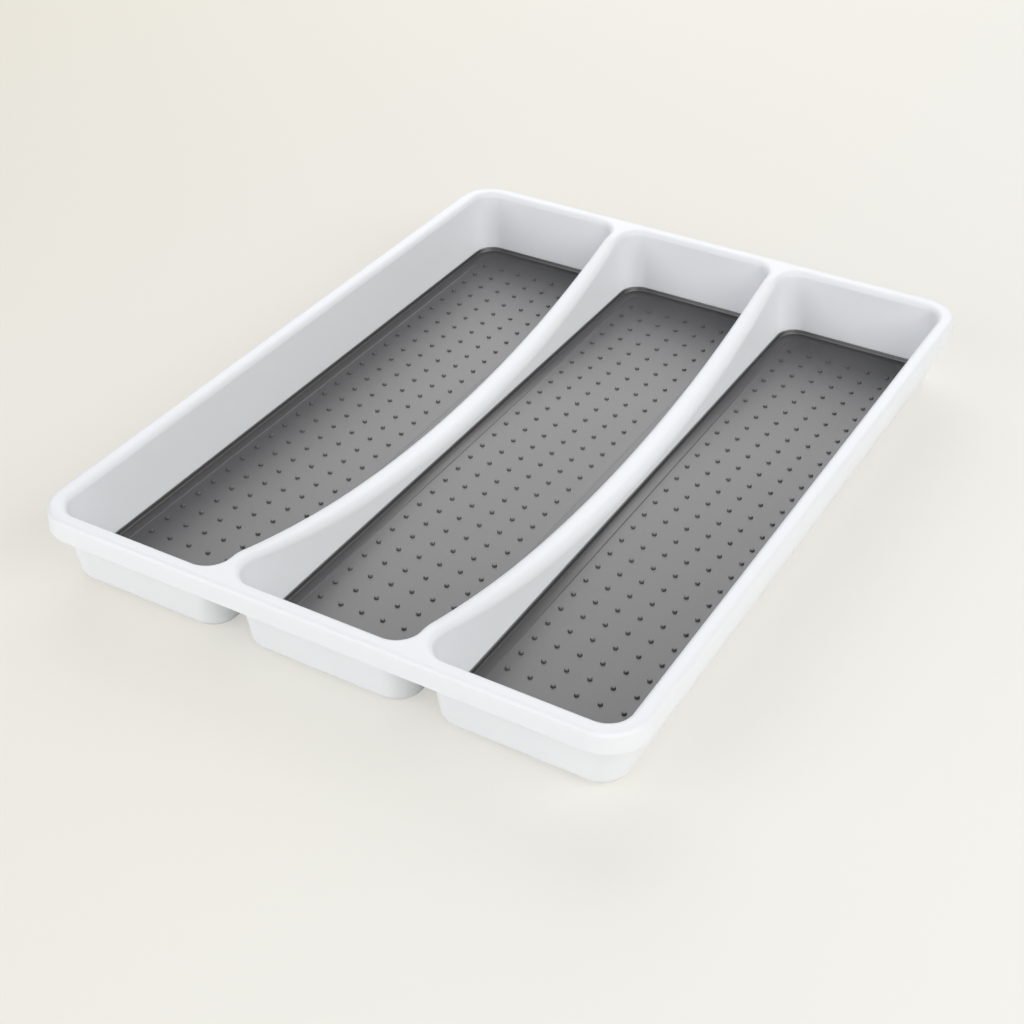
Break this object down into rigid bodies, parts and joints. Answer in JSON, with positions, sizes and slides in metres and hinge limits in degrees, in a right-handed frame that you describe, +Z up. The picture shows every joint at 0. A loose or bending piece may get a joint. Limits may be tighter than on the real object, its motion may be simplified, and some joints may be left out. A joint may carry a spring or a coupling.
{
  "type": "drawer organizer",
  "caption": "Low white moulded tray with long side-by-side compartments, dividers whose tops dip in an arc, and lift-out grey grip liners, for sorting cutlery in a drawer.",
  "frame": {"origin": "on the surface the tray rests on, under the middle of the tray", "axes": "+Z up out of the compartments, +Y along the compartments towards the back, +X across them to the right"},
  "size_m": [0.3138, 0.4052, 0.0422],
  "materials": {
    "white_plastic": "smooth satin moulded plastic, cool white",
    "grey_grip_rubber": "matte grey soft grip",
    "dark_pad_rubber": "matte dark rubber"
  },
  "bodies": {
    "tray": {"tray": "white_plastic", "pad_front_left": "dark_pad_rubber", "pad_front_right": "dark_pad_rubber", "pad_back_left": "dark_pad_rubber", "pad_back_right": "dark_pad_rubber"},
    "left_liner": {"liner_left": "grey_grip_rubber"},
    "middle_liner": {"liner_middle": "grey_grip_rubber"},
    "right_liner": {"liner_right": "grey_grip_rubber"}
  },
  "joints": [
    {"name": "left_liner_lift", "type": "slide", "parent": "tray", "child": "left_liner", "axis": [0, 0, 1], "range_m": [0, 0.05]},
    {"name": "middle_liner_lift", "type": "slide", "parent": "tray", "child": "middle_liner", "axis": [0, 0, 1], "range_m": [0, 0.05]},
    {"name": "right_liner_lift", "type": "slide", "parent": "tray", "child": "right_liner", "axis": [0, 0, 1], "range_m": [0, 0.05]}
  ]
}
